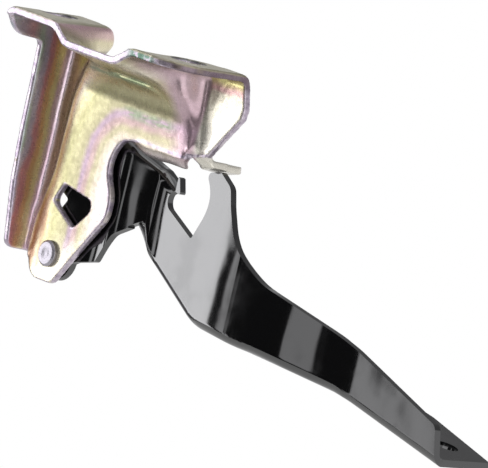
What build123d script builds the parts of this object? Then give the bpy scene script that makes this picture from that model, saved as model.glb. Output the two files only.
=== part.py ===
from build123d import *
import os
from math import cos, radians, sin, sqrt, tan

# Hood hinge for the left side: a drawn sheet bracket that bolts to the body, a gooseneck
# arm that bolts to the hood, and a shoulder rivet with a flanged bush between them.
# Millimetres. X runs along the two body bolts, Y points through the bracket's back plate
# towards the arm, Z is up. The origin is halfway between the two bolt holes, on the
# seating face on top of the flanges.

# Sheet and bends
bracket_sheet = 3.0
arm_sheet = 2.8
bend_inside = 2.2
arm_bend_inside = 1.4

# Bracket envelope, outside faces
bolt_spacing = 84.0
bolt_hole_radius = 6.95
flange_front = -18.0
bracket_left = -52.5
flange_right = 58.4
bracket_right = 61.4
bracket_back = 19.4
flange_corner = 16.0

# Stiffening rib that wraps the corner between the flanges and the back plate
rib_depth = 5.7
rib_left_front = -20.5
rib_left_back = -29.5
rib_right_front = 26.8
rib_right_back = 35.5
rib_side_run = 8.6
floor_fall = 0.24
floor_bend = 17.0
pad_depth = 4.0
pad_draft_left = 52.0
pad_draft_right = 15.0

# Pivot, measured from the origin
pivot_x = -30.6
pivot_z = -91.3

# Pivot stack
neck_radius = 3.5
shoulder_radius = 4.0
running_fit = 0.05
press_fit = 0.02
bush_wall = 1.0
bush_flange = 1.0
bush_flange_radius = 7.5
axial_play = 0.08
rear_washer_thickness = 1.2
rear_washer_radius = 8.0
front_head_radius = 5.2
front_head_height = 2.0
rear_head_radius = 6.6
rear_head_height = 2.4
edge_chamfer = 0.3

# Arm web: three flat planes joined by two bends in plan
pad_back = bracket_back - pad_depth
web_near = pad_back + axial_play + bush_flange
web_middle = 25.0
web_far = 46.5
joggle_start = -2.0
joggle_end = 10.0
offset_start = 75.0
offset_end = 118.0
arm_tip = 184.3
arm_eye_radius = 9.8

# Stop tab and arm horn
stop_gap = 0.35
tab_left = 38.2
tab_right = 46.2
tab_rise = 14.0
tab_end = 34.6
tab_under = -39.0
tab_drop = 1.0

# Hood bolt holes in the arm's lower flange
hood_hole_radius = 4.75
hood_hole_front = (arm_tip - 17.7, 64.6)
hood_hole_rear = (128.0, 62.6)

far = 200.0
arm_start = -90.0
arm_beyond = arm_tip + 45.7


def parallel(points, distance):
    """Offset an open path sideways, to its left, keeping sharp corners."""
    path = [Vector(x, y) for x, y in points]
    moved = []
    for index, point in enumerate(path):
        before = (point - path[index - 1]).normalized() if index > 0 else None
        after = (path[index + 1] - point).normalized() if index < len(path) - 1 else None
        first = before or after
        second = after or before
        normal = Vector(-first.Y - second.Y, first.X + second.X).normalized()
        reach = distance / normal.dot(Vector(-first.Y, first.X))
        moved.append((point.X + normal.X * reach, point.Y + normal.Y * reach))
    return moved


def rounded(corners, mode=Mode.ADD):
    """Closed outline through (x, y, corner radius) points, as a face of the open sketch."""
    with BuildLine() as outline:
        FilletPolyline(
            [(x, y) for x, y, _ in corners],
            radius=[radius for _, _, radius in corners],
            close=True,
        )
    return make_face(outline.edges(), mode=mode)


def shared_edges(part, first_faces, second_faces):
    """Edges of the part that lie between one group of faces and another."""
    first = first_faces.edges()
    second = second_faces.edges()
    return ShapeList([edge for edge in part.edges() if edge in first and edge in second])


# Drawn shell of the bracket: an outer form less the same form set in by one sheet.
# The rib's sides lean at the front of the flanges and stand upright at the back.
rib_start = flange_front - 2.0
rib_end = bracket_back + 2.0
rib_sides = (
    (1.0, rib_left_front, rib_left_back),
    (-1.0, rib_right_front, rib_right_back),
)
# Floor of the rib, seen along X, falling to the back and turning down into the pad
floor_path = [
    (flange_front - 30.0, -rib_depth + floor_fall * 30.0),
    (pad_back, -rib_depth - floor_fall * (pad_back - flange_front)),
    (pad_back, -far),
]
# Sides of the pad at its own level, seen along Y: (x, z, corner radius, flare)
flare_left = tan(radians(pad_draft_left))
flare_right = tan(radians(pad_draft_right))
pad_left = [
    (-22.0, 26.0, 0.0, 0.0),
    (-22.0, -2.0, 6.0, 0.0),
    (-33.9, -17.0, 14.0, flare_left),
    (-36.9, -30.0, 30.0, flare_left),
    (-38.0, -60.0, 20.0, flare_left),
    (-43.0, -80.0, 12.0, flare_left),
    (-43.6, -125.0, 0.0, flare_left),
]
pad_right = [
    (rib_right_back + 0.7, -125.0, 0.0, flare_right),
    (rib_right_back + 0.7, -30.0, 20.0, flare_right),
    (rib_right_back - 3.5, -4.0, 0.0, 0.0),
    (rib_right_back - 3.5, 26.0, 0.0, 0.0),
]
pad_reach = 8.0

bracket_forms = []
for inset, bend in ((0.0, bend_inside + bracket_sheet), (bracket_sheet, bend_inside)):
    with BuildPart() as drawn:
        for side, front_x, back_x in rib_sides:
            with BuildPart(mode=Mode.PRIVATE) as rib_side:
                for y, edge, lean in (
                    (rib_start, front_x, rib_side_run / rib_depth),
                    (rib_end, back_x, 0.0),
                ):
                    edge -= side * inset * sqrt(1.0 + lean * lean)
                    with BuildSketch(Plane.XZ.offset(-y)):
                        with BuildLine():
                            Polyline(
                                (edge - side * lean * 20.0, 20.0),
                                (edge + side * lean * 60.0, -60.0),
                                (side * far, -60.0),
                                (side * far, 20.0),
                                close=True,
                            )
                        make_face()
                loft(ruled=True)
            add(rib_side.part, mode=Mode.ADD if side > 0 else Mode.INTERSECT)
        with BuildPart(mode=Mode.PRIVATE) as pad:
            for rise in (-pad_reach, pad_depth + 2.0):
                left = inset * tan(radians((90.0 - pad_draft_left) / 2.0))
                right = inset * tan(radians((90.0 - pad_draft_right) / 2.0))
                with BuildSketch(Plane.XZ.offset(-(pad_back - inset + rise))):
                    rounded(
                        [(x - left - rise * flare, z, r) for x, z, r, flare in pad_left]
                        + [(x + right + rise * flare, z, r) for x, z, r, flare in pad_right]
                    )
            loft(ruled=True)
        add(pad.part)
        with BuildSketch(Plane.YZ):
            with BuildLine():
                floor = FilletPolyline(
                    parallel(floor_path, -inset), radius=floor_bend + bracket_sheet - inset
                )
                Polyline(
                    floor @ 1, (far, -far), (far, 40.0), (floor_path[0][0], 40.0), floor @ 0
                )
            make_face()
        extrude(amount=far, both=True, mode=Mode.INTERSECT)
    with BuildPart() as bracket_form:
        corner = (bracket_left + inset, bracket_back - inset, -inset)
        with Locations(corner):
            Box(far, far / 2, far, align=(Align.MIN, Align.MAX, Align.MAX))
        bracket_corner = bracket_form.vertices().sort_by_distance(corner)[0]
        fillet(
            bracket_form.edges().filter_by(lambda e: bracket_corner in e.vertices()),
            bend,
        )
        add(drawn.part, mode=Mode.SUBTRACT)
    bracket_forms.append(bracket_form.part)

# Side outline of the back plate, seen along Y
plate_outline = [
    (-80.0, 12.0, 0.0),
    (-80.0, -94.2, 0.0),
    (-45.0, -94.2, 3.0),
    (-39.0, -102.4, 8.0),
    (-25.9, -102.4, 5.0),
    (-17.0, -90.6, 40.0),
    (-1.2, -70.8, 9.0),
    (-1.5, -62.0, 14.0),
    (-8.8, -50.5, 12.0),
    (-3.0, -40.2, 8.0),
    (10.0, -37.4, 20.0),
    (36.2, -38.0, 0.0),
    (38.2, -36.6, 0.0),
    (46.2, -34.6, 0.0),
    (47.0, -33.4, 0.0),
    (bracket_right - 0.5, -17.2, 2.5),
    (bracket_right, -13.0, 4.0),
    (flange_right, -4.0, 6.0),
    (flange_right, 12.0, 0.0),
]

# Front edge of the left wall, seen along X: (y, z, corner radius)
wall_front = [
    (-40.0, 12.0, 0.0),
    (-40.0, -3.5, 0.0),
    (-17.6, -3.5, 3.0),
    (-12.5, -11.0, 9.0),
    (0.2, -11.8, 3.0),
    (1.2, -48.0, 60.0),
    (2.4, -68.0, 60.0),
    (6.0, -92.0, 3.0),
    (8.0, -93.8, 4.0),
    (30.0, -94.6, 0.0),
    (30.0, -far - 10.0, 0.0),
    (-40.0, -far - 10.0, 0.0),
]

window_outline = [
    (-31.2, -63.6, 1.5),
    (-13.2, -66.3, 3.5),
    (-11.8, -70.2, 3.5),
    (-20.6, -78.8, 2.2),
    (-35.6, -71.0, 2.6),
]

# Lower edge of the branch over the arm, turned back as a stiffening lip
lip_path = [(-4.0, -38.5), (9.0, -43.0), (36.6, -43.9)]
lip_depth = 6.6
lip_strip = 9.0

lip_forms = []
pad_front = pad_back - bracket_sheet
plate_front = bracket_back - bracket_sheet
for inset, bend in ((0.0, bend_inside + bracket_sheet), (bracket_sheet, bend_inside)):
    lower = parallel(lip_path, inset)
    upper = parallel(lip_path, lip_strip)
    with BuildPart() as lip_form:
        with BuildSketch(Plane.XZ.offset(-(pad_front + inset))):
            rounded(
                [
                    (lower[0][0] - inset, lower[0][1], 0.0),
                    (lower[1][0], lower[1][1], 16.0),
                    (lower[2][0] + inset, lower[2][1], 0.0),
                    (upper[2][0] + inset, upper[2][1] + inset, 0.0),
                    (upper[0][0] - inset, upper[0][1] + inset, 0.0),
                ]
            )
        extrude(amount=-lip_depth)
        front_face = lip_form.faces().sort_by(Axis.Y)[0]
        lower_faces = lip_form.faces().filter_by(
            lambda f: abs(f.normal_at().Y) < 0.1 and f.normal_at().Z < -0.5
        )
        fillet(shared_edges(lip_form, ShapeList([front_face]), lower_faces), bend)
    lip_forms.append(lip_form.part)

with BuildPart() as lip:
    add(lip_forms[0])
    add(lip_forms[1], mode=Mode.SUBTRACT)

with BuildPart() as hinge_bracket:
    add(bracket_forms[0])
    add(bracket_forms[1], mode=Mode.SUBTRACT)
    # Front and right edges of the flanges
    with BuildSketch(Plane.XY.offset(-60.0)):
        rounded(
            [
                (bracket_left - 5.0, flange_front, 0.0),
                (flange_right, flange_front, flange_corner),
                (flange_right, 12.0, 0.0),
                (far, 12.0, 0.0),
                (far, 60.0, 0.0),
                (bracket_left - 5.0, 60.0, 0.0),
            ]
        )
    extrude(amount=far, both=True, mode=Mode.INTERSECT)
    # Side outline of the back plate, behind the flanges only
    with BuildSketch(Plane.XZ.offset(-6.0)):
        with Locations((0.0, -60.0)):
            Rectangle(2.0 * far, 2.0 * far)
        rounded(plate_outline, mode=Mode.SUBTRACT)
    extrude(amount=-40.0, mode=Mode.SUBTRACT)
    # Front edge of the left wall
    with BuildSketch(Plane.YZ.offset(bracket_left - 2.0)):
        rounded(wall_front)
    extrude(amount=2.0 + bracket_sheet + bend_inside, mode=Mode.SUBTRACT)
    # Below the flanges nothing of the box stays in front of the left wall
    with Locations((bracket_left + bracket_sheet + bend_inside, 6.0, -14.0)):
        Box(far, 60.0, far, align=(Align.MIN, Align.MAX, Align.MAX), mode=Mode.SUBTRACT)
    # Window
    with BuildSketch(Plane.XZ.offset(-8.0)):
        rounded(window_outline)
    extrude(amount=-20.0, mode=Mode.SUBTRACT)
    # Lip over the arm
    add(lip.part)
    # Stop tab, folded back from the lower right corner and leaning with the arm's horn
    lean = radians(tab_rise)
    tab_plane = Plane(
        origin=(tab_right, 0.0, tab_under),
        x_dir=(0.0, 1.0, 0.0),
        z_dir=(-cos(lean), 0.0, -sin(lean)),
    )
    with BuildSketch(tab_plane):
        rounded(
            [
                (plate_front, -7.0, 0.0),
                (plate_front, 0.0, bend_inside + bracket_sheet),
                (tab_end, tab_drop, 0.0),
                (tab_end, tab_drop - bracket_sheet, 0.0),
                (bracket_back, -bracket_sheet, bend_inside),
                (bracket_back, -7.0, 0.0),
            ]
        )
    extrude(amount=(tab_right - tab_left) / cos(lean))
    # Bolt holes in the flanges and the rivet hole
    with Locations((-bolt_spacing / 2, 0.0, 0.0), (bolt_spacing / 2, 0.0, 0.0)):
        Cylinder(bolt_hole_radius, 16.0, mode=Mode.SUBTRACT)
    with BuildSketch(Plane.XZ.offset(-8.0)):
        with Locations((pivot_x, pivot_z)):
            Circle(neck_radius + running_fit)
    extrude(amount=-10.0, mode=Mode.SUBTRACT)
hinge_bracket.part.label = "hinge_bracket"

# Arm: an outer form less the same form set in by one sheet, then trimmed
front_path = [
    (arm_start, web_near),
    (joggle_start, web_near),
    (joggle_end, web_middle),
    (offset_start, web_middle),
    (offset_end, web_far),
    (arm_beyond, web_far),
]
front_bends = ((9.0, 1), (9.0, -1), (26.0, 1), (9.0, -1))
lower_wall = [
    (-13.5, -49.7),
    (10.5, -80.8),
    (47.0, -100.4),
    (80.0, -103.2),
    (offset_end, -109.3),
    (arm_beyond, -129.8),
]
lower_bends = ((12.0, 1), (28.0, 1), (60.0, -1), (60.0, -1))
upper_wall = [(-13.5, -36.0), (21.0, -52.3)]
tip_slope = (lower_wall[5][1] - lower_wall[4][1]) / (lower_wall[5][0] - lower_wall[4][0])
# Left of this outline the web runs on flat below the flange, as the lobe and the eye
lobe_start = (3.4, -71.6)
lobe_zone = parallel([lower_wall[0], lower_wall[1]], arm_sheet + arm_bend_inside + 2.3)


def tab_floor(x):
    """Height of the tab's underside where the arm's horn meets it."""
    back = web_middle + arm_sheet - plate_front
    drop = tab_drop * back / (tab_end - plate_front)
    return tab_under - drop - (tab_right - x) * tan(radians(tab_rise))


arm_outline = [
    (-8.6, -36.0, 0.0),
    (-9.2, -38.0, 2.0),
    (-31.0, -58.0, 4.0),
    (-36.8, -67.0, 1.5),
    (-31.6, -69.4, 1.0),
    (-36.5, -76.0, 10.0),
    (-41.3, -88.0, 2.0),
    (-41.3, -91.3, 1.0),
    (-30.6, -98.0, 2.0),
    (-19.0, -91.6, 6.0),
    (-7.2, -88.8, 2.0),
    (-1.4, -76.4, 6.0),
    (lobe_start[0] + 0.2, -72.2, 0.0),
    (lobe_start[0] + 0.2, -110.0, 0.0),
    (120.0, -135.0, 0.0),
    (arm_tip + 5.7, -140.0, 0.0),
    (arm_tip - 4.7, -106.6, 3.5),
    (offset_end, -88.2, 40.0),
    (82.0, -76.4, 30.0),
    (63.0, -64.5, 24.0),
    (56.4, -52.0, 30.0),
    (53.6, -44.6, 5.0),
    (45.6, tab_floor(45.6) - stop_gap, 2.0),
    (37.4, tab_floor(37.4) - stop_gap, 2.0),
    (43.4, -50.0, 12.0),
    (42.0, -58.0, 20.0),
    (36.8, -68.6, 1.0),
    (15.8, -59.0, 4.2),
    (19.5, -52.9, 2.0),
    (24.5, -54.4, 0.8),
    (22.0, -48.0, 0.0),
]
flange_back = [
    (arm_start, web_near + 8.0),
    (joggle_start, web_near + 8.0),
    (joggle_end, web_middle + 5.6),
    (26.0, web_middle + 5.6),
    (44.0, web_middle + 13.0),
    (offset_start - 4.0, web_middle + 15.0),
    (offset_end - 6.0, web_far + 19.0),
    (124.0, web_far + 33.5),
    (136.0, web_far + 34.7),
    (arm_tip - 4.5, web_far + 30.4),
    (arm_tip, web_far),
    (arm_tip, 0.0),
    (arm_start, 0.0),
]

arm_forms = []
for inset, bend in ((0.0, arm_bend_inside + arm_sheet), (arm_sheet, arm_bend_inside)):
    front = parallel(front_path, inset)
    lower = parallel(lower_wall, inset)
    upper = parallel(upper_wall, -inset)
    step = 0.6 if inset else 0.0
    with BuildPart() as arm_form:
        with BuildSketch(Plane.XY.offset(-170.0)):
            with BuildLine():
                path = FilletPolyline(front, radius=[r - turn * inset for r, turn in front_bends])
                Polyline(path @ 1, (arm_beyond, far), (arm_start, far), path @ 0)
            make_face()
        extrude(amount=170.0)
        with BuildSketch(Plane.XZ):
            with BuildLine():
                wall = FilletPolyline(lower, radius=[r - turn * inset for r, turn in lower_bends])
                Polyline(
                    wall @ 1,
                    (arm_beyond, 0.0),
                    (upper[1][0] - step, 0.0),
                    upper[1],
                    upper[0],
                    wall @ 0,
                )
            make_face()
        extrude(amount=far, both=True, mode=Mode.INTERSECT)
        web_faces = arm_form.faces().filter_by(
            lambda f: abs(f.normal_at().Z) < 0.02 and f.normal_at().Y < -0.3
        )
        wall_faces = arm_form.faces().filter_by(
            lambda f: abs(f.normal_at().Y) < 0.02 and abs(f.normal_at().Z) > 0.2
        )
        bends = shared_edges(arm_form, web_faces, wall_faces)
        fillet(bends.filter_by(lambda e: -165.0 < e.center().Z < -5.0), bend)
    arm_forms.append(arm_form.part)

# The web alone, for the lobe and the eye
lobe_outline = [
    (-far, lobe_zone[0][1] + 60.0, 0.0),
    (lobe_zone[0][0] - 46.4, lobe_zone[0][1] + 60.0, 0.0),
    (lobe_zone[1][0] - 7.1, lobe_zone[1][1] + 9.2, 0.0),
    (lobe_start[0], lobe_start[1], 0.0),
    (lobe_start[0], -far, 0.0),
    (-far, -far, 0.0),
]
with BuildPart() as arm_web:
    with BuildSketch(Plane.XY.offset(-170.0)):
        with BuildLine():
            near_side = FilletPolyline(front_path, radius=[r for r, _ in front_bends])
            far_side = FilletPolyline(
                parallel(front_path, arm_sheet),
                radius=[r - turn * arm_sheet for r, turn in front_bends],
            )
            Line(near_side @ 0, far_side @ 0)
            Line(near_side @ 1, far_side @ 1)
        make_face()
    extrude(amount=170.0)
    with BuildSketch(Plane.XZ):
        rounded(lobe_outline)
    extrude(amount=far, both=True, mode=Mode.INTERSECT)

with BuildPart() as hinge_arm:
    add(arm_forms[0])
    add(arm_forms[1], mode=Mode.SUBTRACT)
    with BuildSketch(Plane.XZ):
        rounded(lobe_outline)
    extrude(amount=far, both=True, mode=Mode.SUBTRACT)
    add(arm_web.part)
    # Side outline with the eye round the pivot
    with BuildSketch(Plane.XZ):
        rounded(arm_outline)
        with Locations((pivot_x, pivot_z)):
            Circle(arm_eye_radius)
    extrude(amount=far, both=True, mode=Mode.INTERSECT)
    # Depth of the flanges
    with BuildSketch(Plane.XY.offset(-170.0)):
        rounded([(x, y, 0.0) for x, y in flange_back])
    extrude(amount=170.0, mode=Mode.INTERSECT)
    # Bolt holes for the hood, square to the sloping flange
    for x, y in (hood_hole_front, hood_hole_rear):
        z = lower_wall[4][1] + tip_slope * (x - lower_wall[4][0])
        seat = Plane(origin=(x, y, z), z_dir=(-tip_slope, 0.0, 1.0))
        with BuildSketch(seat.offset(-5.0)):
            Circle(hood_hole_radius)
        extrude(amount=15.0, mode=Mode.SUBTRACT)
    # Eye for the bush
    with BuildSketch(Plane.XZ):
        with Locations((pivot_x, pivot_z)):
            Circle(shoulder_radius + running_fit + bush_wall + press_fit)
    extrude(amount=-far, mode=Mode.SUBTRACT)
hinge_arm.part.label = "hinge_arm"

# Pivot pieces, turned about the rivet's axis: sketch x is the radius, y runs along Y
pivot_plane = Plane(origin=(pivot_x, 0.0, pivot_z), x_dir=(1.0, 0.0, 0.0), z_dir=(0.0, 0.0, 1.0))
shoulder_end = web_near + arm_sheet + axial_play
washer_end = shoulder_end + rear_washer_thickness
pivot_axis = Axis((pivot_x, 0.0, pivot_z), (0.0, 1.0, 0.0))

front_head = pad_front - front_head_height
rear_head = washer_end + rear_head_height

with BuildPart() as pivot_rivet:
    with BuildSketch(pivot_plane):
        with BuildLine():
            Polyline(
                (0.0, front_head),
                (front_head_radius - 2.0 * edge_chamfer, front_head),
                (front_head_radius, front_head + 2.0 * edge_chamfer),
                (front_head_radius, pad_front),
                (neck_radius, pad_front),
                (neck_radius, pad_back),
                (shoulder_radius, pad_back),
                (shoulder_radius, shoulder_end),
                (neck_radius, shoulder_end),
                (neck_radius, washer_end),
                (rear_head_radius, washer_end),
                (rear_head_radius - edge_chamfer, rear_head - 4.0 * edge_chamfer),
                (rear_head_radius - 5.0 * edge_chamfer, rear_head),
                (0.0, rear_head),
                close=True,
            )
        make_face()
    revolve(axis=pivot_axis)
pivot_rivet.part.label = "pivot_rivet"

with BuildPart() as pivot_bush:
    bore = shoulder_radius + running_fit
    with BuildSketch(pivot_plane):
        with BuildLine():
            Polyline(
                (bore, web_near - bush_flange + edge_chamfer),
                (bore + edge_chamfer, web_near - bush_flange),
                (bush_flange_radius - edge_chamfer, web_near - bush_flange),
                (bush_flange_radius, web_near - bush_flange + edge_chamfer),
                (bush_flange_radius, web_near),
                (bore + bush_wall, web_near),
                (bore + bush_wall, web_near + arm_sheet),
                (bore, web_near + arm_sheet),
                close=True,
            )
        make_face()
    revolve(axis=pivot_axis)
pivot_bush.part.label = "pivot_bush"

with BuildPart() as rear_washer:
    with BuildSketch(pivot_plane):
        with BuildLine():
            Polyline(
                (neck_radius + running_fit, shoulder_end),
                (rear_washer_radius, shoulder_end),
                (rear_washer_radius, washer_end - edge_chamfer),
                (rear_washer_radius - edge_chamfer, washer_end),
                (neck_radius + running_fit, washer_end),
                close=True,
            )
        make_face()
    revolve(axis=pivot_axis)
rear_washer.part.label = "rear_washer"

os.makedirs("parts", exist_ok=True)
for piece in (hinge_bracket, hinge_arm, pivot_rivet, pivot_bush, rear_washer):
    export_step(piece.part, f"parts/{piece.part.label}.step")
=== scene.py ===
import math

import bmesh
import bpy
import numpy as np
from mathutils import Matrix, Vector


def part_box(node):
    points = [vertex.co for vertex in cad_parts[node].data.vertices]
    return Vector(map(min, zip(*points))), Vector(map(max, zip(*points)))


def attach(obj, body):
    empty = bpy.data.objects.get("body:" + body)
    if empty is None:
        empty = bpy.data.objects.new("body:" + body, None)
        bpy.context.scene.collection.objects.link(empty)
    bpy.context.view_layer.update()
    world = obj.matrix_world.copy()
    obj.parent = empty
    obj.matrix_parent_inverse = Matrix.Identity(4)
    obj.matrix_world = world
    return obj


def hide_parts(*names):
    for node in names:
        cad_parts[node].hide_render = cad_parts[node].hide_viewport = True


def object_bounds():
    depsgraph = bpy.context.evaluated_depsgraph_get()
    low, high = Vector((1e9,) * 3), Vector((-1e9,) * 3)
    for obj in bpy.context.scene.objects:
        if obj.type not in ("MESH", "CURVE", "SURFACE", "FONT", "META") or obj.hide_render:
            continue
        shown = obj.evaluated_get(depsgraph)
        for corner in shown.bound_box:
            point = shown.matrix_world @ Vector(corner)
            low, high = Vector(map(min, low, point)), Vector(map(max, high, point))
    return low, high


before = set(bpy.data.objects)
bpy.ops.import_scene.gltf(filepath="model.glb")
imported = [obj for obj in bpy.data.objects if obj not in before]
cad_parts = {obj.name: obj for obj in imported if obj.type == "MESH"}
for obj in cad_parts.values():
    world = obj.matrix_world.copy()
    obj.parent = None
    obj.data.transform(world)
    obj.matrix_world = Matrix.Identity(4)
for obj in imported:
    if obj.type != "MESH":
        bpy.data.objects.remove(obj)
cad_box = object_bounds()

bl_info = {
    "name": "Hood Hinge",
    "version": (1, 0, 0),
    "blender": (4, 5, 0),
    "location": "View3D > Sidebar > Hood Hinge",
    "description": "Dresses a stamped hood hinge and sets up its studio",
    "category": "Add Mesh",
}

MILLIMETRE = 0.001
# Corners of the CAD's faces nearer than this are one corner, in metres
MERGE_REACH = 2e-6
# Points nearer than this to a cutting plane lie on it, in metres
CUT_REACH = 1e-6


class HingeShapeSettings(bpy.types.PropertyGroup):
    """Sizes of the dressed pieces."""

    edge_round: bpy.props.FloatProperty(
        name="Edge rounding",
        description="Radius broken onto the sheared edges of the sheets",
        default=0.35 * MILLIMETRE,
        min=0.0,
        unit="LENGTH",
    )
    face_size: bpy.props.FloatProperty(
        name="Bracket face size",
        description="Width of the small faces that the drawn bracket is made of",
        default=0.6 * MILLIMETRE,
        min=0.3 * MILLIMETRE,
        unit="LENGTH",
    )
    draw_round: bpy.props.FloatProperty(
        name="Draw rounding",
        description="Half width of the soft bends that the drawing die leaves",
        default=3.2 * MILLIMETRE,
        unit="LENGTH",
    )
    bend_half: bpy.props.FloatProperty(
        name="Arm bend half width",
        description="Half of the length over which each outer bend of the arm turns",
        default=8.0 * MILLIMETRE,
        unit="LENGTH",
    )
    crease_angle: bpy.props.FloatProperty(
        name="Crease angle",
        description="Edges that turn by more than this stay edges",
        default=math.radians(28.0),
        subtype="ANGLE",
    )
    turned_steps: bpy.props.IntProperty(
        name="Steps round the pivot",
        description="Faces round each turned piece",
        default=96,
        min=24,
    )


class HingeStageSettings(bpy.types.PropertyGroup):
    """Camera and room."""

    azimuth: bpy.props.FloatProperty(
        name="Camera azimuth",
        description="Turn of the camera round the hinge from the front",
        default=math.radians(51.0),
        subtype="ANGLE",
    )
    elevation: bpy.props.FloatProperty(
        name="Camera elevation",
        description="Height angle of the camera",
        default=math.radians(5.85),
        subtype="ANGLE",
    )
    roll: bpy.props.FloatProperty(
        name="Camera roll",
        description="Turn of the picture about the viewing direction",
        default=math.radians(13.2),
        subtype="ANGLE",
    )
    target: bpy.props.FloatVectorProperty(
        name="Camera target",
        description="Point in the middle of the picture",
        default=(0.0441, 0.0442, -0.0627),
        subtype="XYZ",
        unit="LENGTH",
    )
    span: bpy.props.FloatProperty(
        name="Picture width",
        description="Width of what the picture shows at the target",
        default=0.1877,
        unit="LENGTH",
    )
    distance: bpy.props.FloatProperty(
        name="Camera distance",
        description="Distance from the camera to the target",
        default=6.5,
        unit="LENGTH",
    )
    floor_drop: bpy.props.FloatProperty(
        name="Floor drop",
        description="Gap between the hinge's lowest point and the floor",
        default=0.4,
        unit="LENGTH",
    )


# How much the finer octaves of every noise count
NOISE_ROUGHNESS = 0.55


class Value:
    """One socket's value, on which arithmetic adds Math nodes."""

    def __init__(self, shader, socket):
        self.shader = shader
        self.socket = socket

    def __add__(self, other):
        return self.shader.math("ADD", self, other)

    def __radd__(self, other):
        return self.shader.math("ADD", other, self)

    def __sub__(self, other):
        return self.shader.math("SUBTRACT", self, other)

    def __rsub__(self, other):
        return self.shader.math("SUBTRACT", other, self)

    def __mul__(self, other):
        return self.shader.math("MULTIPLY", self, other)

    def __truediv__(self, other):
        return self.shader.math("DIVIDE", self, other)

    def __neg__(self):
        return self.shader.math("MULTIPLY", self, -1.0)


class Shader:
    """Adds nodes to one material or world."""

    def __init__(self, owner):
        owner.use_nodes = True
        self.tree = owner.node_tree
        self.tree.nodes.clear()

    def node(self, kind, settings, values):
        """Adds a node, gives it its settings, then its sockets' values or links."""
        node = self.tree.nodes.new(kind)
        for key, setting in settings.items():
            setattr(node, key, setting)
        for key, value in values.items():
            self.put(node.inputs[key], value)
        return node

    def put(self, socket, value):
        """Links a value or an output to a socket, or sets the socket to a constant."""
        if isinstance(value, Value):
            self.tree.links.new(value.socket, socket)
        elif isinstance(value, bpy.types.NodeSocket):
            self.tree.links.new(value, socket)
        else:
            socket.default_value = value

    def math(self, operation, *values):
        """Result of one Math node."""
        node = self.node("ShaderNodeMath", {"operation": operation}, dict(enumerate(values)))
        return Value(self, node.outputs[0])

    def smooth(self, value, low, high):
        """0 below low, 1 above high and a smooth step between."""
        node = self.node(
            "ShaderNodeMapRange",
            {"interpolation_type": "SMOOTHSTEP"},
            {"Value": value, "From Min": low, "From Max": high},
        )
        return Value(self, node.outputs["Result"])

    def band(self, value, low, high, soft):
        """1 between low and high, 0 outside, with smooth steps of the soft half width."""
        rise = self.smooth(value, low - soft, low + soft)
        return rise * (1.0 - self.smooth(value, high - soft, high + soft))

    def soft_ramp(self, value, half):
        """The larger of 0 and value, with a parabola of the given half width over the corner."""
        lifted = self.math("MINIMUM", self.math("MAXIMUM", value + half, 0.0), 2.0 * half)
        return lifted * lifted / (4.0 * half) + self.math("MAXIMUM", value - half, 0.0)

    def ramp(self, value, stops):
        """Colours along a value, from (value, colour) stops in rising order."""
        first, last = stops[0][0], stops[-1][0]
        factor = (value - first) / (last - first)
        stops = [((place - first) / (last - first), colour) for place, colour in stops]
        node = self.node("ShaderNodeValToRGB", {}, {"Fac": factor})
        ramp = node.color_ramp
        ramp.interpolation = "EASE"
        while len(ramp.elements) < len(stops):
            ramp.elements.new(1.0)
        for element, (place, colour) in zip(ramp.elements, stops):
            element.position = place
            element.color = rgb(colour)
        return Value(self, node.outputs["Color"])

    def mix(self, factor, first, second, blend="MIX"):
        """Colour between first and second."""
        node = self.node(
            "ShaderNodeMix",
            {"data_type": "RGBA", "blend_type": blend},
            {0: factor, 6: first, 7: second},
        )
        return Value(self, node.outputs[2])

    def noise(self, vector, scale, detail=4.0, stretch=None):
        """Noise from 0 to 1 round a half, its scale in grains to the millimetre."""
        if stretch:
            vector = self.node(
                "ShaderNodeMapping", {}, {"Vector": vector, "Scale": stretch}
            ).outputs[0]
        node = self.node(
            "ShaderNodeTexNoise",
            {},
            {"Vector": vector, "Scale": scale, "Detail": detail, "Roughness": NOISE_ROUGHNESS},
        )
        return Value(self, node.outputs["Fac"])

    def place(self):
        """Object coordinates in millimetres: the vector and its x, y and z."""
        coords = self.node("ShaderNodeTexCoord", {}, {}).outputs["Object"]
        scaled = self.node(
            "ShaderNodeVectorMath", {"operation": "SCALE"}, {0: coords, "Scale": 1.0 / MILLIMETRE}
        ).outputs[0]
        split = self.node("ShaderNodeSeparateXYZ", {}, {0: scaled})
        return scaled, [Value(self, out) for out in split.outputs]

    def bump(self, height, distance):
        """Normal of a surface whose height goes up and down by the distance."""
        values = {"Height": height, "Distance": distance, "Strength": 1.0}
        return self.node("ShaderNodeBump", {}, values).outputs["Normal"]

    def surface(self, values):
        """Principled surface with the given socket values, linked to the output."""
        bsdf = self.node("ShaderNodeBsdfPrincipled", {}, values)
        self.node("ShaderNodeOutputMaterial", {}, {"Surface": bsdf.outputs[0]})


def rgb(code):
    """Linear colour with alpha from a hexadecimal sRGB code."""
    channels = [int(code[i : i + 2], 16) / 255.0 for i in (0, 2, 4)]
    return (*[c / 12.92 if c <= 0.04045 else ((c + 0.055) / 1.055) ** 2.4 for c in channels], 1.0)


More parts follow.
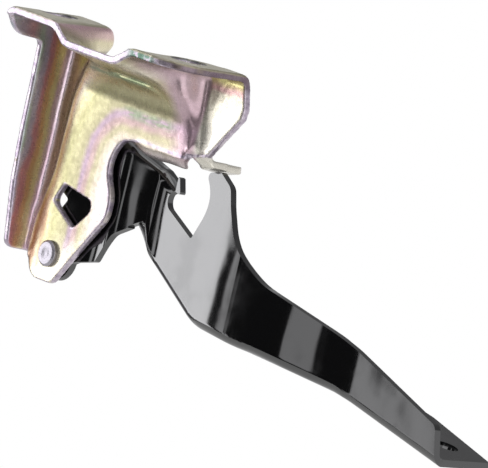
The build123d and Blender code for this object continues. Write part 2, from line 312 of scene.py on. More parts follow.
# Colours of the zinc film in rising order, as (millimetres or tone, sRGB code); the wall's and the
# pad's lists also hold painted highlights and painted shade
# The pale pink stop at 37.5 is a painted highlight along the crease between wall and plate
WALL_FILM_HIGHLIGHT_SHADE = (
    (4.0, "b8c2ca"), (10.0, "b0a4b8"), (16.0, "b894a0"), (21.5, "a9b6ac"), (24.5, "b4a8bc"),
    (27.5, "c88a90"), (30.5, "deb080"), (33.0, "e6d6a0"), (35.5, "d8bac8"), (37.5, "f0dce6"),
    (40.0, "b09a84"), (42.5, "a08e6a"), (45.5, "a09a6a"), (50.0, "bdb894"),
)
# The pale stop at 41 is a painted highlight on the pad's shoulder, and the olive stops at 45 and
# 48 are painted shade at the foot of its left side
PAD_FILM_HIGHLIGHT_SHADE = (
    (8.0, "c4bab8"), (12.0, "b6ac9c"), (15.5, "a0997c"), (19.0, "9f8886"), (22.0, "96828f"),
    (25.0, "989272"), (29.0, "a8a37e"), (33.0, "a8a47a"), (37.0, "cbc39a"), (41.0, "eee8ce"),
    (45.0, "a89f72"), (48.0, "9a8c74"),
)
FACET_FILM = (
    (0.0, "b8ad6e"), (5.0, "c9bf84"), (8.5, "cfaaa6"), (11.0, "d0cbb8"), (30.0, "d8d4c8"),
)
STEP_FILM = ((1.0, "c4a2a8"), (4.0, "d8bcb6"), (7.0, "e2d8b4"))
TOP_FILM = ((0.3, "8b8870"), (0.5, "9f9a80"), (0.7, "b0a894"))
EDGE_FILM = ((0.3, "94869a"), (0.45, "b4a8b6"), (0.6, "ccc2cc"), (0.72, "a49890"))
# Green streaks across the pad in millimetres: (z from, z to, x from, x to, softness in x)
GREEN_STREAKS = ((-30.5, -26.5, -5.0, 27.0, 5.0), (-17.5, -13.5, -27.0, 15.0, 6.0))
STREAK_SOFT = 1.6
# From the front of the side wall to the origin, along the sheet
WALL_REACH = 70.5
# Inside of the pad's turn above the arm, below the origin
TURN_DROP = 50.0
ZINC_METALLIC = 0.68
ZINC_ROUGHNESS = 0.23


def pad_film_and_shading(shader, where, x, z, drift, sway):
    """Film of the pad, by the distance from the inside of its turn above the arm, with green
    streaks, a mauve right end and a cream low end. Its ramp also paints a highlight on the pad's
    shoulder and shade in olive at the foot of its left side."""
    aside = shader.math("MAXIMUM", -x, 0.0)
    above = shader.math("MAXIMUM", z + TURN_DROP, 0.0)
    turn = shader.math("SQRT", aside * aside + above * above) + drift * 5.0 + sway * 2.0
    streak = shader.noise(where, 0.55, 3.0, stretch=(0.25, 1.0, 1.6))
    green = sum(
        shader.band(z, bottom, top, STREAK_SOFT) * shader.band(x, left, right, soft)
        for bottom, top, left, right, soft in GREEN_STREAKS
    )
    green = green * shader.smooth(streak, 0.3, 0.55)
    mauve = shader.smooth(x + z * 0.1 + drift * 12.0, 21.0, 31.0)
    mauve = mauve * shader.band(z, -40.0, -4.0, 3.0)
    cream = shader.smooth(-z + x * 0.3 + drift * 14.0, 74.0, 92.0)
    film = shader.ramp(turn, PAD_FILM_HIGHLIGHT_SHADE)
    for mask, strength, colour in (
        (green, 0.8, "6f8060"), (mauve, 0.85, "bea2b0"), (cream, 0.85, "e6dfce"),
    ):
        film = shader.mix(mask * strength, film, rgb(colour))
    return film


def edge_film(shader, where, x, y, z):
    """Film of the sheared edges: pale and stained, teal in front and dusky at the right."""
    tone = shader.noise(where, 0.35, 4.0)
    teal = shader.band(x, 27.0, 44.0, 4.0) * (1.0 - shader.smooth(y, -14.0, -10.0))
    teal = teal * shader.smooth(tone, 0.35, 0.5)
    dusk = shader.smooth(x, 46.0, 54.0) * shader.smooth(z, -9.0, -3.0) * 0.8
    film = shader.mix(teal, shader.ramp(tone, EDGE_FILM), rgb("4f6a5c"))
    return shader.mix(dusk, film, rgb("5d4a50"))


def zinc(name):
    """Yellow passivated zinc plating, whose film shows bands of colour along the sheet.

    Each mask is a place on the bracket in millimetres, and the film drifts and sways there. Some
    masks and stops paint light: a highlight along the wall's crease and on the pad's shoulder, and
    shade at the pad's foot and in the bolt holes."""
    material = bpy.data.materials.new(name)
    shader = Shader(material)
    where, (x, y, z) = shader.place()
    drift = shader.noise(where, 0.045, 3.0) - 0.5
    sway = shader.noise(where, 0.16, 3.0, stretch=(1.0, 1.0, 0.35)) - 0.5
    fine = shader.noise(where, 1.6, 5.0)
    mottle = shader.noise(where, 0.5, 5.0)
    scratch = shader.noise(where, 1.8, 2.0, stretch=(1.0, 1.0, 0.06))

    # Side wall and the strip of plate beside the pad, unrolled from front to right, with a painted
    # highlight along the crease
    wall = shader.ramp(x + y + WALL_REACH + drift * 7.0 + sway * 4.0, WALL_FILM_HIGHLIGHT_SHADE)
    # Pad colours, with a painted highlight on its shoulder and painted shade at the foot of its
    # left side
    pad = pad_film_and_shading(shader, where, x, z, drift, sway)
    body = shader.mix(shader.smooth(x, -42.0, -37.5), wall, pad)

    # Brown and red band beside the rivet, along the pad's left slope, patchy with the sway
    rivet_side_band = shader.band(x, -43.5, -36.5, 1.5) * shader.band(z, -98.0, -72.0, 5.0)
    rivet_side_band = rivet_side_band * shader.smooth(sway + 0.5, 0.3, 0.6) * 0.7

    # Flat facet right of the pad: khaki at the top, pale below
    facet = shader.smooth(x, 38.6, 40.2) * shader.smooth(y, 8.0, 12.0)
    facet_colour = shader.ramp(-z + drift * 6.0, FACET_FILM)

    # Step walls at the flanges' ends: mauve above, cream below
    step_wall = shader.smooth(z, -10.5, -9.0) * shader.smooth(x, -39.0, -36.5)
    step_wall = step_wall * (1.0 - shader.smooth(x, -22.0, -16.0))
    step_colour = shader.ramp(-z + drift * 3.0, STEP_FILM)

    # Flange tops, duller and warm grey
    top = shader.smooth(z, -1.2, -0.5)
    top_colour = shader.ramp(shader.noise(where, 0.12, 4.0), TOP_FILM)

    # Painted shade inside the bolt holes: dark green-grey over their bores
    reach = shader.math("ABSOLUTE", x) - HOLE_X
    bore = shader.math("SQRT", reach * reach + y * y)
    hole_shade = (1.0 - shader.smooth(bore, 7.0, 7.4)) * shader.smooth(z, -6.0, -5.0)

    # Sheared edges, which the mesh marks as cut, and dark specks over everything
    cut = shader.node("ShaderNodeAttribute", {"attribute_name": "cut"}, {}).outputs["Fac"]
    edge = Value(shader, cut) * (1.0 - top * 0.8)
    specks = shader.smooth(shader.noise(where, 1.1, 2.0), 0.74, 0.78) * 0.5
    for mask, colour in (
        (rivet_side_band, rgb("95624e")),
        (facet, facet_colour),
        (step_wall, step_colour),
        (top, top_colour),
        # painted shade in the bolt holes
        (hole_shade, rgb("3e4a40")),
        (edge, edge_film(shader, where, x, y, z)),
    ):
        body = shader.mix(mask, body, colour)
    grime = shader.smooth(mottle, 0.3, 0.75) * 0.12
    body = shader.mix(grime, body, rgb("8a7c6c"), "MULTIPLY")
    body = shader.mix(specks, body, rgb("4c4238"))
    dull = shader.smooth(mottle, 0.4, 0.7)
    shader.surface(
        {
            "Base Color": body,
            "Metallic": ZINC_METALLIC,
            "Roughness": ZINC_ROUGHNESS + fine * 0.08 + dull * 0.06 + top * 0.12,
            "Normal": shader.bump(fine * 0.0015 + scratch * 0.001 + drift * 0.8, MILLIMETRE),
        }
    )
    return material


# Where the arm's reflections turn, in millimetres along X: (place, half width, slope)
ARM_TURNS = (
    (10.0, 9.0, -0.71), (10.0, 1.0, 0.71),
    (75.0, 21.0, 0.5), (75.0, 8.0, -0.5),
    (92.8, 1.4, 0.05), (106.4, 1.4, -0.05),
    (118.0, 4.0, 0.16),
)
# The same for the lobe round the pivot, which is left of its turn
LOBE_PLACE, LOBE_HALF, LOBE_SLOPE = -9.0, 3.0, 0.26
PAINT_IOR = 1.9
PAINT_ROUGHNESS = 0.06


def black_paint(name):
    """Gloss black paint, dipped, which lies over the arm in slow waves and has some haze.

    Its normal turns with the slope of the lie, a sum of soft ramps along the arm."""
    material = bpy.data.materials.new(name)
    shader = Shader(material)
    where, (x, _, _) = shader.place()
    sag = shader.noise(where, 0.04, 0.5) - 0.5
    along = x + sag * 4.0
    lie = sum(
        (shader.soft_ramp(along - place, half) * slope for place, half, slope in ARM_TURNS),
        sag * 0.15,
    )
    lie = lie - shader.soft_ramp(-along + LOBE_PLACE, LOBE_HALF) * LOBE_SLOPE
    peel = shader.noise(where, 0.9, 2.0)
    haze = shader.smooth(shader.noise(where, 0.06, 2.0), 0.45, 0.7)
    dust = shader.smooth(shader.noise(where, 1.4, 3.0), 0.7, 0.8)
    shader.surface(
        {
            "Base Color": shader.mix(dust * 0.5, rgb("040405"), rgb("1c1c20")),
            "Roughness": PAINT_ROUGHNESS + peel * 0.03 + haze * 0.13 + dust * 0.1,
            "IOR": PAINT_IOR,
            "Normal": shader.bump(peel * 0.002 - lie, MILLIMETRE),
        }
    )
    return material


# Depth of the fine marks on the turned pieces
MARK_DEPTH = 0.04 * MILLIMETRE


def bright_steel(name, tint, rough):
    """Turned metal with fine marks."""
    material = bpy.data.materials.new(name)
    shader = Shader(material)
    where, _ = shader.place()
    fine = shader.noise(where, 1.5, 5.0)
    shader.surface(
        {
            "Base Color": shader.mix(fine * 0.6, rgb(tint), rgb("d8d4d8")),
            "Metallic": 1.0,
            "Roughness": rough + fine * 0.15,
            "Normal": shader.bump(fine, MARK_DEPTH),
        }
    )
    return material


# Radiance of the pale room in front, and how much more there is behind and overhead
ROOM_LIGHT, ROOM_BEHIND, ROOM_OVERHEAD = 0.62, 0.36, 0.3
# Dim band behind the hinge in degrees of rise: (from, to, softness) and its radiance
DIM_RISE, DIM_LIGHT = (22.0, 64.0, 6.0), 0.3
# Screens and dark cloth round the hinge, each over the ones before, in degrees and radiance:
# (turn from, turn to, rise from, rise to, softness, light)
ROOM_PANELS = (
    (-40.0, 104.0, -90.0, -16.0, 7.0, 0.14),
    (-40.0, 44.0, -42.0, 40.0, 1.4, 0.03),
    (31.0, 38.0, -34.0, 34.0, 1.0, 1.7),
    (-13.0, -4.6, -30.0, 30.0, 1.0, 1.3),
    (-88.0, -44.0, -32.0, 30.0, 3.0, 1.7),
    (44.5, 64.0, -20.0, 14.0, 1.2, 4.4),
)


def studio_light(shader):
    """Brightness of the room by direction: a pale room, screens at the left and the right, and
    dark cloth round the camera. The turn is in degrees from the front, positive to the left,
    and the rise in degrees above the level."""
    towards = shader.node("ShaderNodeTexCoord", {}, {}).outputs["Generated"]
    split = shader.node("ShaderNodeSeparateXYZ", {}, {0: towards})
    dx, dy, dz = (Value(shader, out) for out in split.outputs)
    turn = shader.math("ARCTAN2", -dx, -dy) * math.degrees(1.0)
    rise = shader.math("ARCSINE", dz) * math.degrees(1.0)
    behind = shader.smooth(dy, -0.1, 0.35)
    overhead = shader.smooth(rise, 50.0, 75.0)
    level = ROOM_LIGHT + behind * ROOM_BEHIND + overhead * ROOM_OVERHEAD
    level = level + behind * shader.band(rise, *DIM_RISE) * (DIM_LIGHT - level)
    for low, high, bottom, top, soft, light in ROOM_PANELS:
        inside = shader.band(turn, low, high, soft) * shader.band(rise, bottom, top, soft * 3.0)
        level = level + inside * (light - level)
    return level


# Share of the floor that is plain white where the camera or a reflection sees it
FLOOR_SEEN = 0.96
FLOOR_COLOUR = (0.86, 0.86, 0.87, 1.0)
WHITE = (1.0, 1.0, 1.0, 1.0)


def studio_white(name):
    """Pale floor: seen white, and still darker where the hinge shades it."""
    material = bpy.data.materials.new(name)
    shader = Shader(material)
    path = shader.node("ShaderNodeLightPath", {}, {})
    seen = shader.math(
        "MAXIMUM",
        Value(shader, path.outputs["Is Camera Ray"]),
        shader.math(
            "MAXIMUM",
            Value(shader, path.outputs["Is Glossy Ray"]),
            Value(shader, path.outputs["Is Transmission Ray"]),
        ),
    )
    diffuse = shader.node("ShaderNodeBsdfDiffuse", {}, {"Color": FLOOR_COLOUR})
    glow = shader.node("ShaderNodeEmission", {}, {"Color": WHITE, "Strength": 1.0})
    mixed = shader.node(
        "ShaderNodeMixShader",
        {},
        {"Fac": seen * FLOOR_SEEN, 1: diffuse.outputs[0], 2: glow.outputs[0]},
    )
    shader.node("ShaderNodeOutputMaterial", {}, {"Surface": mixed.outputs[0]})
    return material


def add_piece(name, mesh, body, material, nodes):
    """Puts a mesh into the scene as a piece that rides on a body in place of its nodes."""
    piece = bpy.data.objects.new(name, mesh)
    bpy.context.scene.collection.objects.link(piece)
    mesh.materials.clear()
    mesh.materials.append(material)
    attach(piece, body)
    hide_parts(*nodes)
    return piece


def merged(node):
    """Copy of a CAD node's mesh and its work mesh, with the corners that share a place merged."""
    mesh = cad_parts[node].data.copy()
    work = bmesh.new()
    work.from_mesh(mesh)
    bmesh.ops.remove_doubles(work, verts=work.verts, dist=MERGE_REACH)
    return mesh, work


def finish_work(mesh, work, crease_angle):
    """Makes faces smooth and edges over the angle sharp, and writes the work mesh back."""
    for face in work.faces:
        face.smooth = True
    for edge in work.edges:
        edge.smooth = edge.calc_face_angle(0.0) < crease_angle
    work.to_mesh(mesh)
    work.free()


def even_mesh(node, face_size):
    """A CAD node rebuilt as an even net of small four-sided faces."""
    mesh, work = merged(node)
    work.to_mesh(mesh)
    work.free()
    carrier = bpy.data.objects.new("net", mesh)
    bpy.context.scene.collection.objects.link(carrier)
    remesh = carrier.modifiers.new("net", "REMESH")
    remesh.mode = "VOXEL"
    remesh.voxel_size = face_size
    graph = bpy.context.evaluated_depsgraph_get()
    even = bpy.data.meshes.new_from_object(carrier.evaluated_get(graph))
    bpy.data.objects.remove(carrier)
    return even


def points_of(mesh):
    """Vertex places of a mesh in millimetres, one row each."""
    flat = np.empty(len(mesh.vertices) * 3)
    mesh.vertices.foreach_get("co", flat)
    return flat.reshape(-1, 3) / MILLIMETRE


def set_points(mesh, points):
    """Moves the vertices of a mesh to places in millimetres."""
    mesh.vertices.foreach_set("co", (points * MILLIMETRE).ravel())
    mesh.update()


def smooth_step(value, low, high):
    """0 below low, 1 above high, and 3t^2 - 2t^3 between."""
    t = np.clip((value - low) / (high - low), 0.0, 1.0)
    return t * t * (3.0 - 2.0 * t)


def soft_ramp(value, half):
    """The larger of 0 and value, with a parabola of the given half width over the corner."""
    inside = (value + half) ** 2 / (4.0 * half)
    return np.where(value < -half, 0.0, np.where(value > half, value, inside))


def rounding(value, run, half):
    """Soft minus sharp rise from 0 to 1 over a run, its two corners rounded by the half width."""
    run = np.maximum(run, 1e-3)
    soft = (soft_ramp(value, half) - soft_ramp(value - run, half)) / run
    return soft - np.clip(value / run, 0.0, 1.0)


def distance_to_line(u, v, corners):
    """Distance of the points (u, v) to an open line through the corners."""
    corners = np.array(corners)
    start, leg = corners[:-1], np.diff(corners, axis=0)
    du = u[:, None] - start[:, 0]
    dv = v[:, None] - start[:, 1]
    along = np.clip((du * leg[:, 0] + dv * leg[:, 1]) / (leg**2).sum(axis=1), 0.0, 1.0)
    return np.hypot(du - along * leg[:, 0], dv - along * leg[:, 1]).min(axis=1)


def relax(mesh, points, weight, rounds):
    """Each point moves by its weight towards the mean of its neighbours, again and again."""
    ends = np.empty(len(mesh.edges) * 2, dtype=np.int32)
    mesh.edges.foreach_get("vertices", ends)
    a, b = ends.reshape(-1, 2).T
    count = np.bincount(a, minlength=len(points)) + np.bincount(b, minlength=len(points))
    for _ in range(rounds):
        total = np.stack(
            [
                np.bincount(a, points[b, axis], len(points))
                + np.bincount(b, points[a, axis], len(points))
                for axis in range(3)
            ],
            axis=1,
        )
        points = points + weight[:, None] * (total / count[:, None] - points)
    return points


# Edges of the bracket in millimetres, as the CAD has them: plate and window in X and Z, wall
# in Y and Z, flanges in X and Y, and the pad's left side in Z and X
PLATE_EDGE = [
    (-52.5, -94.2), (-45.0, -94.2), (-39.0, -102.4), (-25.9, -102.4), (-17.0, -90.6),
    (-3.5, -73.0), (-1.4, -66.0), (-7.6, -50.5), (-5.0, -43.0), (-1.0, -39.6), (10.0, -37.4),
    (36.2, -38.0), (38.2, -36.6), (46.2, -34.6), (47.0, -33.4), (60.9, -17.2), (61.3, -13.0),
    (58.4, -4.0), (58.4, 1.0),
]
WINDOW_EDGE = [
    (-31.2, -63.6), (-13.2, -66.3), (-11.8, -70.2), (-20.6, -78.8), (-35.6, -71.0), (-31.2, -63.6),
]
WALL_EDGE = [
    (-18.0, -3.5), (-16.5, -4.5), (-12.5, -9.5), (-8.0, -11.2), (0.0, -12.6), (1.0, -48.0),
    (2.4, -68.0), (6.0, -92.0), (8.0, -93.8), (20.0, -94.2),
]
FLANGE_EDGE = [
    (-52.5, -18.0), (42.4, -18.0), (50.0, -16.1), (56.2, -10.2), (58.4, -2.0), (58.4, 12.0),
]
PAD_EDGE = [
    (-10.0, -31.0), (-17.0, -33.9), (-30.0, -36.9), (-60.0, -38.0), (-80.0, -42.6),
    (-125.0, -43.4),
]
# Holes and stop tab
HOLE_X, HOLE_RADIUS = 42.0, 6.95
PIVOT_AXIS = (-30.6, -91.3)
PIVOT_HOLE_RADIUS = 3.55
TAB_END = 34.6
# The rib between the flanges: its corners at the front and how much wider they get to the back
HALF_SHEET = 1.5
FLANGE_FRONT = -18.0
RIB_START, RIB_LENGTH = -20.0, 41.4
RIB_LEFT, RIB_LEFT_TAPER = -20.5, 9.0
RIB_RIGHT, RIB_RIGHT_TAPER = 26.8, 8.7
RIB_DEPTH, RIB_LEAN, FLOOR_FALL = 5.7, 1.509, 0.24
RIB_BOTTOM = -24.0
# The pad's depth, the widths of its sloping sides, and how soft they are as a share of the
# rounding at the rib's corners
PAD_DEPTH = 4.0
PAD_LEFT_RUN, PAD_LEFT_SOFT = 5.12, 0.8
PAD_RIGHT, PAD_RIGHT_RUN, PAD_RIGHT_SOFT = 38.4, 1.07, 0.55
# The plate lies between these places along Y, and what is behind it is the stop tab
PLATE_FRONT, PLATE_BACK = 8.0, 21.0
# Distance of a point that no rim is near
FAR = 50.0


def rim_distance(points):
    """Distance of each point to the nearest sheared edge of the bracket."""
    x, y, z = points.T
    plate = y > PLATE_FRONT
    hole = np.abs(np.hypot(np.abs(x) - HOLE_X, y) - HOLE_RADIUS)
    pivot = np.abs(np.hypot(x - PIVOT_AXIS[0], z - PIVOT_AXIS[1]) - PIVOT_HOLE_RADIUS)
    rims = (
        (plate, distance_to_line(x, z, PLATE_EDGE)),
        (plate, distance_to_line(x, z, WINDOW_EDGE)),
        (x < -47.0, distance_to_line(y, z, WALL_EDGE)),
        (z > -14.0, distance_to_line(x, y, FLANGE_EDGE)),
        (z > -6.0, hole),
        (plate, pivot),
        (y > 25.0, TAB_END - y),
    )
    return np.min([np.where(zone, distance, FAR) for zone, distance in rims], axis=0)


def pad_left(z):
    """Place of the pad's left side along X at a height."""
    edge = np.array(PAD_EDGE)
    return np.interp(-z, -edge[:, 0], edge[:, 1]) - 0.5


def rib_easing(x, y, z, half):
    """How far the rib's surface drops where its four corners are rounded."""
    back = (y - RIB_START) / RIB_LENGTH
    lean = RIB_LEAN * (1.0 - back)
    spread = HALF_SHEET * (np.sqrt(1.0 + lean**2) - lean)
    depth = RIB_DEPTH + FLOOR_FALL * (y - FLANGE_FRONT)
    left = x - (RIB_LEFT - RIB_LEFT_TAPER * back - spread)
    right = (RIB_RIGHT + RIB_RIGHT_TAPER * back + spread) - x
    rise = rounding(left, lean * depth, half) + rounding(right, lean * depth, half)
    front = (1.0 - smooth_step(y, -4.0, 6.0)) * (z > RIB_BOTTOM)
    return depth * rise * front


def pad_easing(x, y, z, half):
    """How far the plate comes forward where the corners of the pad's sides are rounded."""
    start = pad_left(z) - PAD_LEFT_RUN
    step = rounding(x - start, PAD_LEFT_RUN, PAD_LEFT_SOFT * half)
    step = step + rounding(PAD_RIGHT - x, PAD_RIGHT_RUN, PAD_RIGHT_SOFT * half)
    low = smooth_step(-z, 14.0, 24.0) * (y > PLATE_FRONT) * (y < PLATE_BACK)
    return PAD_DEPTH * step * low


def relaxed_zones(x, y, z, rim):
    """Weights from 0 to 1 at the left and at the right, where rib and pad run together."""
    keep = smooth_step(rim, 0.8, 4.0) * (1.0 - smooth_step(y, 19.0, 20.0))
    low = z < -10.0
    top_left = smooth_step(x, -37.0, -33.0) * (1.0 - smooth_step(x, -12.0, -4.0)) * (z > -40.0)
    side_left = (np.abs(x - pad_left(z) + 2.5) < 7.0) * low
    crease = (x < -41.0) * (y > 6.0) * (z < -12.0) * 0.5
    top_right = smooth_step(x, 14.0, 28.0) * (1.0 - smooth_step(x, 42.0, 48.0))
    side_right = (1.0 - smooth_step(np.abs(x - 38.0), 3.0, 6.0)) * low
    left = np.max([top_left, side_left, crease], axis=0)
    return left * keep, np.maximum(top_right, side_right) * keep


def drawn_bracket(face_size, draw_round):
    """The bracket with the soft bends of a drawn sheet.

    Across the rib the height is eased at its four corners, across the pad's sides the depth is,
    and where rib and pad meet each point moves towards the mean of its neighbours."""
    mesh = even_mesh("hinge_bracket", face_size)
    points = points_of(mesh)
    rim = rim_distance(points)
    points[:, 2] -= rib_easing(*points.T, draw_round)
    points[:, 1] -= pad_easing(*points.T, draw_round)
    left, right = relaxed_zones(*points.T, rim)
    for weight, rounds in ((0.6 * left, 40), (0.7 * right, 110), (np.full(len(points), 0.5), 2)):
        points = relax(mesh, points, weight, rounds)

    box_low, box_high = (np.array(corner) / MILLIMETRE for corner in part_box("hinge_bracket"))
    points = np.clip(points, box_low, box_high)
    set_points(mesh, points)
    mesh.polygons.foreach_set("use_smooth", np.ones(len(mesh.polygons), dtype=bool))
    cut = mesh.attributes.new("cut", "FLOAT", "POINT")
    cut.data.foreach_set("value", 1.0 - smooth_step(rim_distance(points), 0.35, 0.75))
    return mesh


# The arm's web along X in millimetres: where its joggle ends, where its two outer bends are,
# the radii and the slope that the CAD gives them, how many strips each is divided into and
# how far they reach, in half widths. Faces that differ by less than the last angle are one.
JOGGLE_END = 24.0
ARM_BENDS = (75.0, 118.0)
ARM_RADII = (26.0, 9.0)
ARM_SLOPE = 0.5
BEND_STRIPS, BEND_REACH = 16, 1.1
FLAT_ANGLE = math.radians(0.4)


def plan_line(x, turns):
    """Sideways place of the arm's web along X, rising by each turn's slope past its place."""
    return sum(slope * soft_ramp(x - place, half) for place, half, slope in turns)


def bent_line(x):
    """Sideways place of the CAD's web along X: straight lines joined by circular arcs.

    From the arc's start it rises by R - sqrt(R^2 - u^2), then along the slope."""
    turn = math.atan(ARM_SLOPE)

    def rise(run, radius):
        run = run + radius * math.tan(turn / 2.0)
        on_arc = np.clip(run, 0.0, radius * math.sin(turn))
        past = np.maximum(run - radius * math.sin(turn), 0.0)
        return radius - np.sqrt(radius**2 - on_arc**2) + past * ARM_SLOPE

    first, second = ARM_BENDS
    first_radius, second_radius = ARM_RADII
    whole = (second - first) * ARM_SLOPE
    near = rise(x - first, first_radius)
    far = whole - rise(second - x, second_radius)
    return np.where(x < (first + second) / 2.0, near, far)


def arm_mesh(crease_angle, bend_half):
    """The arm with its two outer bends drawn out.

    The sheet is divided across its bends, and each point moves sideways by the difference
    between a plan line whose corners are parabolas and the CAD's line of arcs."""
    mesh, work = merged("hinge_arm")
    bmesh.ops.dissolve_limit(work, angle_limit=FLAT_ANGLE, verts=work.verts, edges=work.edges)
    for place in ARM_BENDS:
        for step in np.linspace(-BEND_REACH, BEND_REACH, BEND_STRIPS) * bend_half:
            bmesh.ops.bisect_plane(
                work,
                geom=[*work.verts, *work.edges, *work.faces],
                plane_co=((place + step) * MILLIMETRE, 0.0, 0.0),
                plane_no=(1.0, 0.0, 0.0),
                dist=CUT_REACH,
            )
    finish_work(mesh, work, crease_angle)
    points = points_of(mesh)
    x = points[:, 0]
    first, second = ARM_BENDS
    soft = plan_line(x, ((first, bend_half, ARM_SLOPE), (second, bend_half, -ARM_SLOPE)))
    points[:, 1] += (soft - bent_line(x)) * (x > JOGGLE_END)
    set_points(mesh, points)
    return mesh


# Profiles of the turned pieces about the pivot's line, as (radius, place along Y)
RIVET_PROFILE = (
    (0.0, 10.75), (1.2, 10.62), (2.4, 10.42), (4.3, 10.42), (5.2, 11.1), (5.2, 12.4),
    (3.5, 12.4), (3.5, 15.4), (4.0, 15.4), (4.0, 19.36), (3.5, 19.36), (3.5, 20.56),
    (6.6, 20.56), (6.4, 21.6), (5.0, 22.6), (2.6, 22.94), (0.0, 22.94),
)
BUSH_PROFILE = (
    (4.05, 15.52), (4.4, 15.48), (7.2, 15.48), (7.5, 15.7), (7.5, 16.48), (5.05, 16.48),
    (5.05, 19.28), (4.05, 19.28),
)
WASHER_PROFILE = ((3.55, 19.36), (8.0, 19.36), (8.0, 20.26), (7.7, 20.56), (3.55, 20.56))
# The turned pieces: (name, node, body, slot, profile, edge radius, colour, roughness)
TURNED_PIECES = (
    ("rivet_skin", "pivot_rivet", "bracket", "rivet_steel", RIVET_PROFILE, 0.12, "8a8690", 0.3),
    ("bush_skin", "pivot_bush", "arm", "bush_metal", BUSH_PROFILE, 0.08, "b09868", 0.3),
    ("washer_skin", "rear_washer", "bracket", "washer_steel", WASHER_PROFILE, 0.08, "a0a0a4", 0.3),
)
# Edges that turn by more stay sharp, corners are cut in so many points, and radii and gaps
# below these sizes count as none
TURNED_CREASE = math.radians(40.0)
ARC_POINTS = 4
ON_AXIS = 1e-6
TURNED_MERGE, TURNED_SLIVER = 1e-7, 1e-8


def turned(profile, axis, steps, round_off):
    """Closed surface of revolution about a line along Y.

    A point (r, t) of the profile goes to (axis x + r cos a, t, axis z + r sin a), and each
    corner of the profile is first cut by the parabola p + d ((1 - t)^2 b + t^2 a), where b and
    a are the directions to the corners before and after it and d is the edge radius."""
    profile = np.array(profile, dtype=float)
    before = np.roll(profile, 1, axis=0) - profile
    after = np.roll(profile, -1, axis=0) - profile
    for leg in (before, after):
        leg /= np.maximum(np.linalg.norm(leg, axis=1), 1e-9)[:, None]
    reach = np.where(profile[:, 0] < ON_AXIS, 0.0, round_off)[:, None]
    share = np.linspace(0.0, 1.0, ARC_POINTS)
    arcs = [profile + reach * ((1.0 - t) ** 2 * before + t**2 * after) for t in share]
    rings = np.stack(arcs, axis=1).reshape(-1, 2)
    angle = np.linspace(0.0, 2.0 * np.pi, steps, endpoint=False)
    points = np.stack(
        [
            axis[0] + rings[:, :1] * np.cos(angle),
            np.repeat(rings[:, 1:], steps, axis=1),
            axis[1] + rings[:, :1] * np.sin(angle),
        ],
        axis=2,
    ).reshape(-1, 3)
    ring, spoke = np.meshgrid(np.arange(len(rings)), np.arange(steps), indexing="ij")
    next_ring, next_spoke = (ring + 1) % len(rings), (spoke + 1) % steps
    faces = np.stack(
        [
            ring * steps + spoke, next_ring * steps + spoke,
            next_ring * steps + next_spoke, ring * steps + next_spoke,
        ],
        axis=2,
    ).reshape(-1, 4)
    mesh = bpy.data.meshes.new("turned")
    mesh.from_pydata((points * MILLIMETRE).tolist(), [], faces.tolist())
    work = bmesh.new()
    work.from_mesh(mesh)
    bmesh.ops.remove_doubles(work, verts=work.verts, dist=TURNED_MERGE)
    bmesh.ops.dissolve_degenerate(work, edges=work.edges, dist=TURNED_SLIVER)
    bmesh.ops.recalc_face_normals(work, faces=work.faces)
    finish_work(mesh, work, TURNED_CREASE)
    return mesh


def break_edges(piece, width, crease_angle):
    """Rounds the sharp edges of a piece and keeps the flats flat."""
    bevel = piece.modifiers.new("edges", "BEVEL")
    bevel.width = width
    bevel.segments = 2
    bevel.limit_method = "ANGLE"
    bevel.angle_limit = crease_angle
    bevel.miter_outer = "MITER_ARC"
    bevel.use_clamp_overlap = True
    weighted = piece.modifiers.new("flats", "WEIGHTED_NORMAL")
    weighted.keep_sharp = True
    weighted.weight = 60


# Half side of the floor, the softbox's direction, distance, width and radiance, all in metres,
# and the width of the camera's sensor in millimetres
FLOOR_REACH = 0.75
LAMP_TOWARDS = (0.2, -0.4, 0.9)
LAMP_DISTANCE, LAMP_WIDTH, LAMP_RADIANCE = 1.2, 0.9, 1.2
SENSOR_WIDTH = 36.0


def add_floor(height):
    """Square of pale floor round the origin."""
    corners = np.array([(-1, -1, 0), (1, -1, 0), (1, 1, 0), (-1, 1, 0)]) * FLOOR_REACH
    corners[:, 2] = height
    mesh = bpy.data.meshes.new("floor")
    mesh.from_pydata(corners.tolist(), [], [(0, 1, 2, 3)])
    floor = bpy.data.objects.new("floor", mesh)
    mesh.materials.append(studio_white("floor_white"))
    bpy.context.scene.collection.objects.link(floor)


def add_room():
    """World that the camera sees white and the hinge sees as the room."""
    world = bpy.data.worlds.new("studio")
    bpy.context.scene.world = world
    shader = Shader(world)
    path = shader.node("ShaderNodeLightPath", {}, {})
    seen = Value(shader, path.outputs["Is Camera Ray"])
    level = studio_light(shader)
    grey = shader.node("ShaderNodeCombineColor", {}, {0: level, 1: level, 2: level * 1.02})
    sky = shader.mix(seen, grey.outputs[0], rgb("ffffff"))
    background = shader.node("ShaderNodeBackground", {}, {"Color": sky, "Strength": 1.0})
    shader.node("ShaderNodeOutputWorld", {}, {"Surface": background.outputs[0]})


def add_lamp(target):
    """Square softbox above and in front of the hinge."""
    lamp = bpy.data.lights.new("top_softbox", "AREA")
    lamp.shape = "RECTANGLE"
    lamp.size = lamp.size_y = LAMP_WIDTH
    lamp.energy = LAMP_RADIANCE * math.pi * LAMP_WIDTH * LAMP_WIDTH
    light = bpy.data.objects.new("top_softbox", lamp)
    direction = Vector(LAMP_TOWARDS).normalized()
    light.location = target + direction * LAMP_DISTANCE
    light.rotation_euler = direction.to_track_quat("Z", "Y").to_euler()
    bpy.context.scene.collection.objects.link(light)


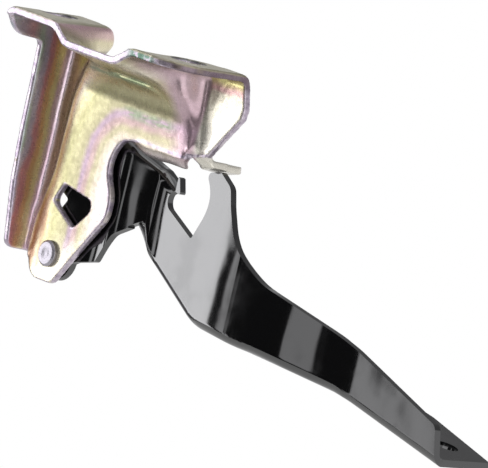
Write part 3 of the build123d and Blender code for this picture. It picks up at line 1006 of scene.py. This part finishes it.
def add_camera(stage, target):
    """Camera whose picture shows the span at the target, turned about its own direction."""
    camera_data = bpy.data.cameras.new("camera")
    camera = bpy.data.objects.new("camera", camera_data)
    bpy.context.scene.collection.objects.link(camera)
    bpy.context.scene.camera = camera
    camera_data.sensor_width = SENSOR_WIDTH
    camera_data.lens = camera_data.sensor_width * stage.distance / stage.span
    a, e, t = stage.azimuth, stage.elevation, stage.roll
    back = Vector((math.sin(a) * math.cos(e), -math.cos(a) * math.cos(e), math.sin(e)))
    level = Vector((math.cos(a), math.sin(a), 0.0))
    upright = back.cross(level)
    right = level * math.cos(t) + upright * math.sin(t)
    up = upright * math.cos(t) - level * math.sin(t)
    turn = Matrix((right, up, back)).transposed().to_4x4()
    camera.matrix_world = Matrix.Translation(target + back * stage.distance) @ turn


class HOODHINGE_OT_bracket(bpy.types.Operator):
    """Dress the drawn bracket"""

    bl_idname = "hoodhinge.bracket"
    bl_label = "Bracket"

    def execute(self, context):
        shape = context.scene.hinge_shape
        mesh = drawn_bracket(shape.face_size, shape.draw_round / MILLIMETRE)
        film = zinc("bracket_zinc")
        add_piece("bracket_skin", mesh, "bracket", film, ("hinge_bracket",))
        return {"FINISHED"}


class HOODHINGE_OT_arm(bpy.types.Operator):
    """Dress the gooseneck arm"""

    bl_idname = "hoodhinge.arm"
    bl_label = "Arm"

    def execute(self, context):
        shape = context.scene.hinge_shape
        mesh = arm_mesh(shape.crease_angle, shape.bend_half / MILLIMETRE)
        paint = black_paint("arm_paint")
        piece = add_piece("arm_skin", mesh, "arm", paint, ("hinge_arm",))
        break_edges(piece, shape.edge_round, shape.crease_angle)
        return {"FINISHED"}


class HOODHINGE_OT_pivot(bpy.types.Operator):
    """Dress the rivet, the bush and the washer"""

    bl_idname = "hoodhinge.pivot"
    bl_label = "Pivot"

    def execute(self, context):
        steps = context.scene.hinge_shape.turned_steps
        for name, node, body, slot, profile, round_off, tint, rough in TURNED_PIECES:
            mesh = turned(profile, PIVOT_AXIS, steps, round_off)
            add_piece(name, mesh, body, bright_steel(slot, tint, rough), (node,))
        return {"FINISHED"}


class HOODHINGE_OT_stage(bpy.types.Operator):
    """Set up the floor, the light and the camera"""

    bl_idname = "hoodhinge.stage"
    bl_label = "Stage"

    def execute(self, context):
        stage = context.scene.hinge_stage
        target = Vector(stage.target)
        add_floor(cad_box[0][2] - stage.floor_drop)
        add_room()
        add_lamp(target)
        add_camera(stage, target)
        context.scene.view_settings.view_transform = "Standard"
        return {"FINISHED"}


class HOODHINGE_PT_panel(bpy.types.Panel):
    """Sidebar panel of the hood hinge"""

    bl_idname = "HOODHINGE_PT_panel"
    bl_label = "Hood Hinge"
    bl_space_type = "VIEW_3D"
    bl_region_type = "UI"
    bl_category = "Hood Hinge"

    def draw(self, context):
        layout = self.layout
        for settings in (context.scene.hinge_shape, context.scene.hinge_stage):
            box = layout.box()
            for key in settings.bl_rna.properties.keys():
                if key not in ("rna_type", "name"):
                    box.prop(settings, key)
        for operator in OPERATORS:
            layout.operator(operator.bl_idname)


OPERATORS = (
    HOODHINGE_OT_bracket,
    HOODHINGE_OT_arm,
    HOODHINGE_OT_pivot,
    HOODHINGE_OT_stage,
)
CLASSES = (HingeShapeSettings, HingeStageSettings, *OPERATORS, HOODHINGE_PT_panel)


def register():
    for cls in CLASSES:
        bpy.utils.register_class(cls)
    bpy.types.Scene.hinge_shape = bpy.props.PointerProperty(type=HingeShapeSettings)
    bpy.types.Scene.hinge_stage = bpy.props.PointerProperty(type=HingeStageSettings)


def unregister():
    del bpy.types.Scene.hinge_stage
    del bpy.types.Scene.hinge_shape
    for cls in reversed(CLASSES):
        bpy.utils.unregister_class(cls)


def main():
    register()
    bpy.ops.hoodhinge.bracket()
    bpy.ops.hoodhinge.arm()
    bpy.ops.hoodhinge.pivot()
    bpy.ops.hoodhinge.stage()


if __name__ == "__main__":
    main()
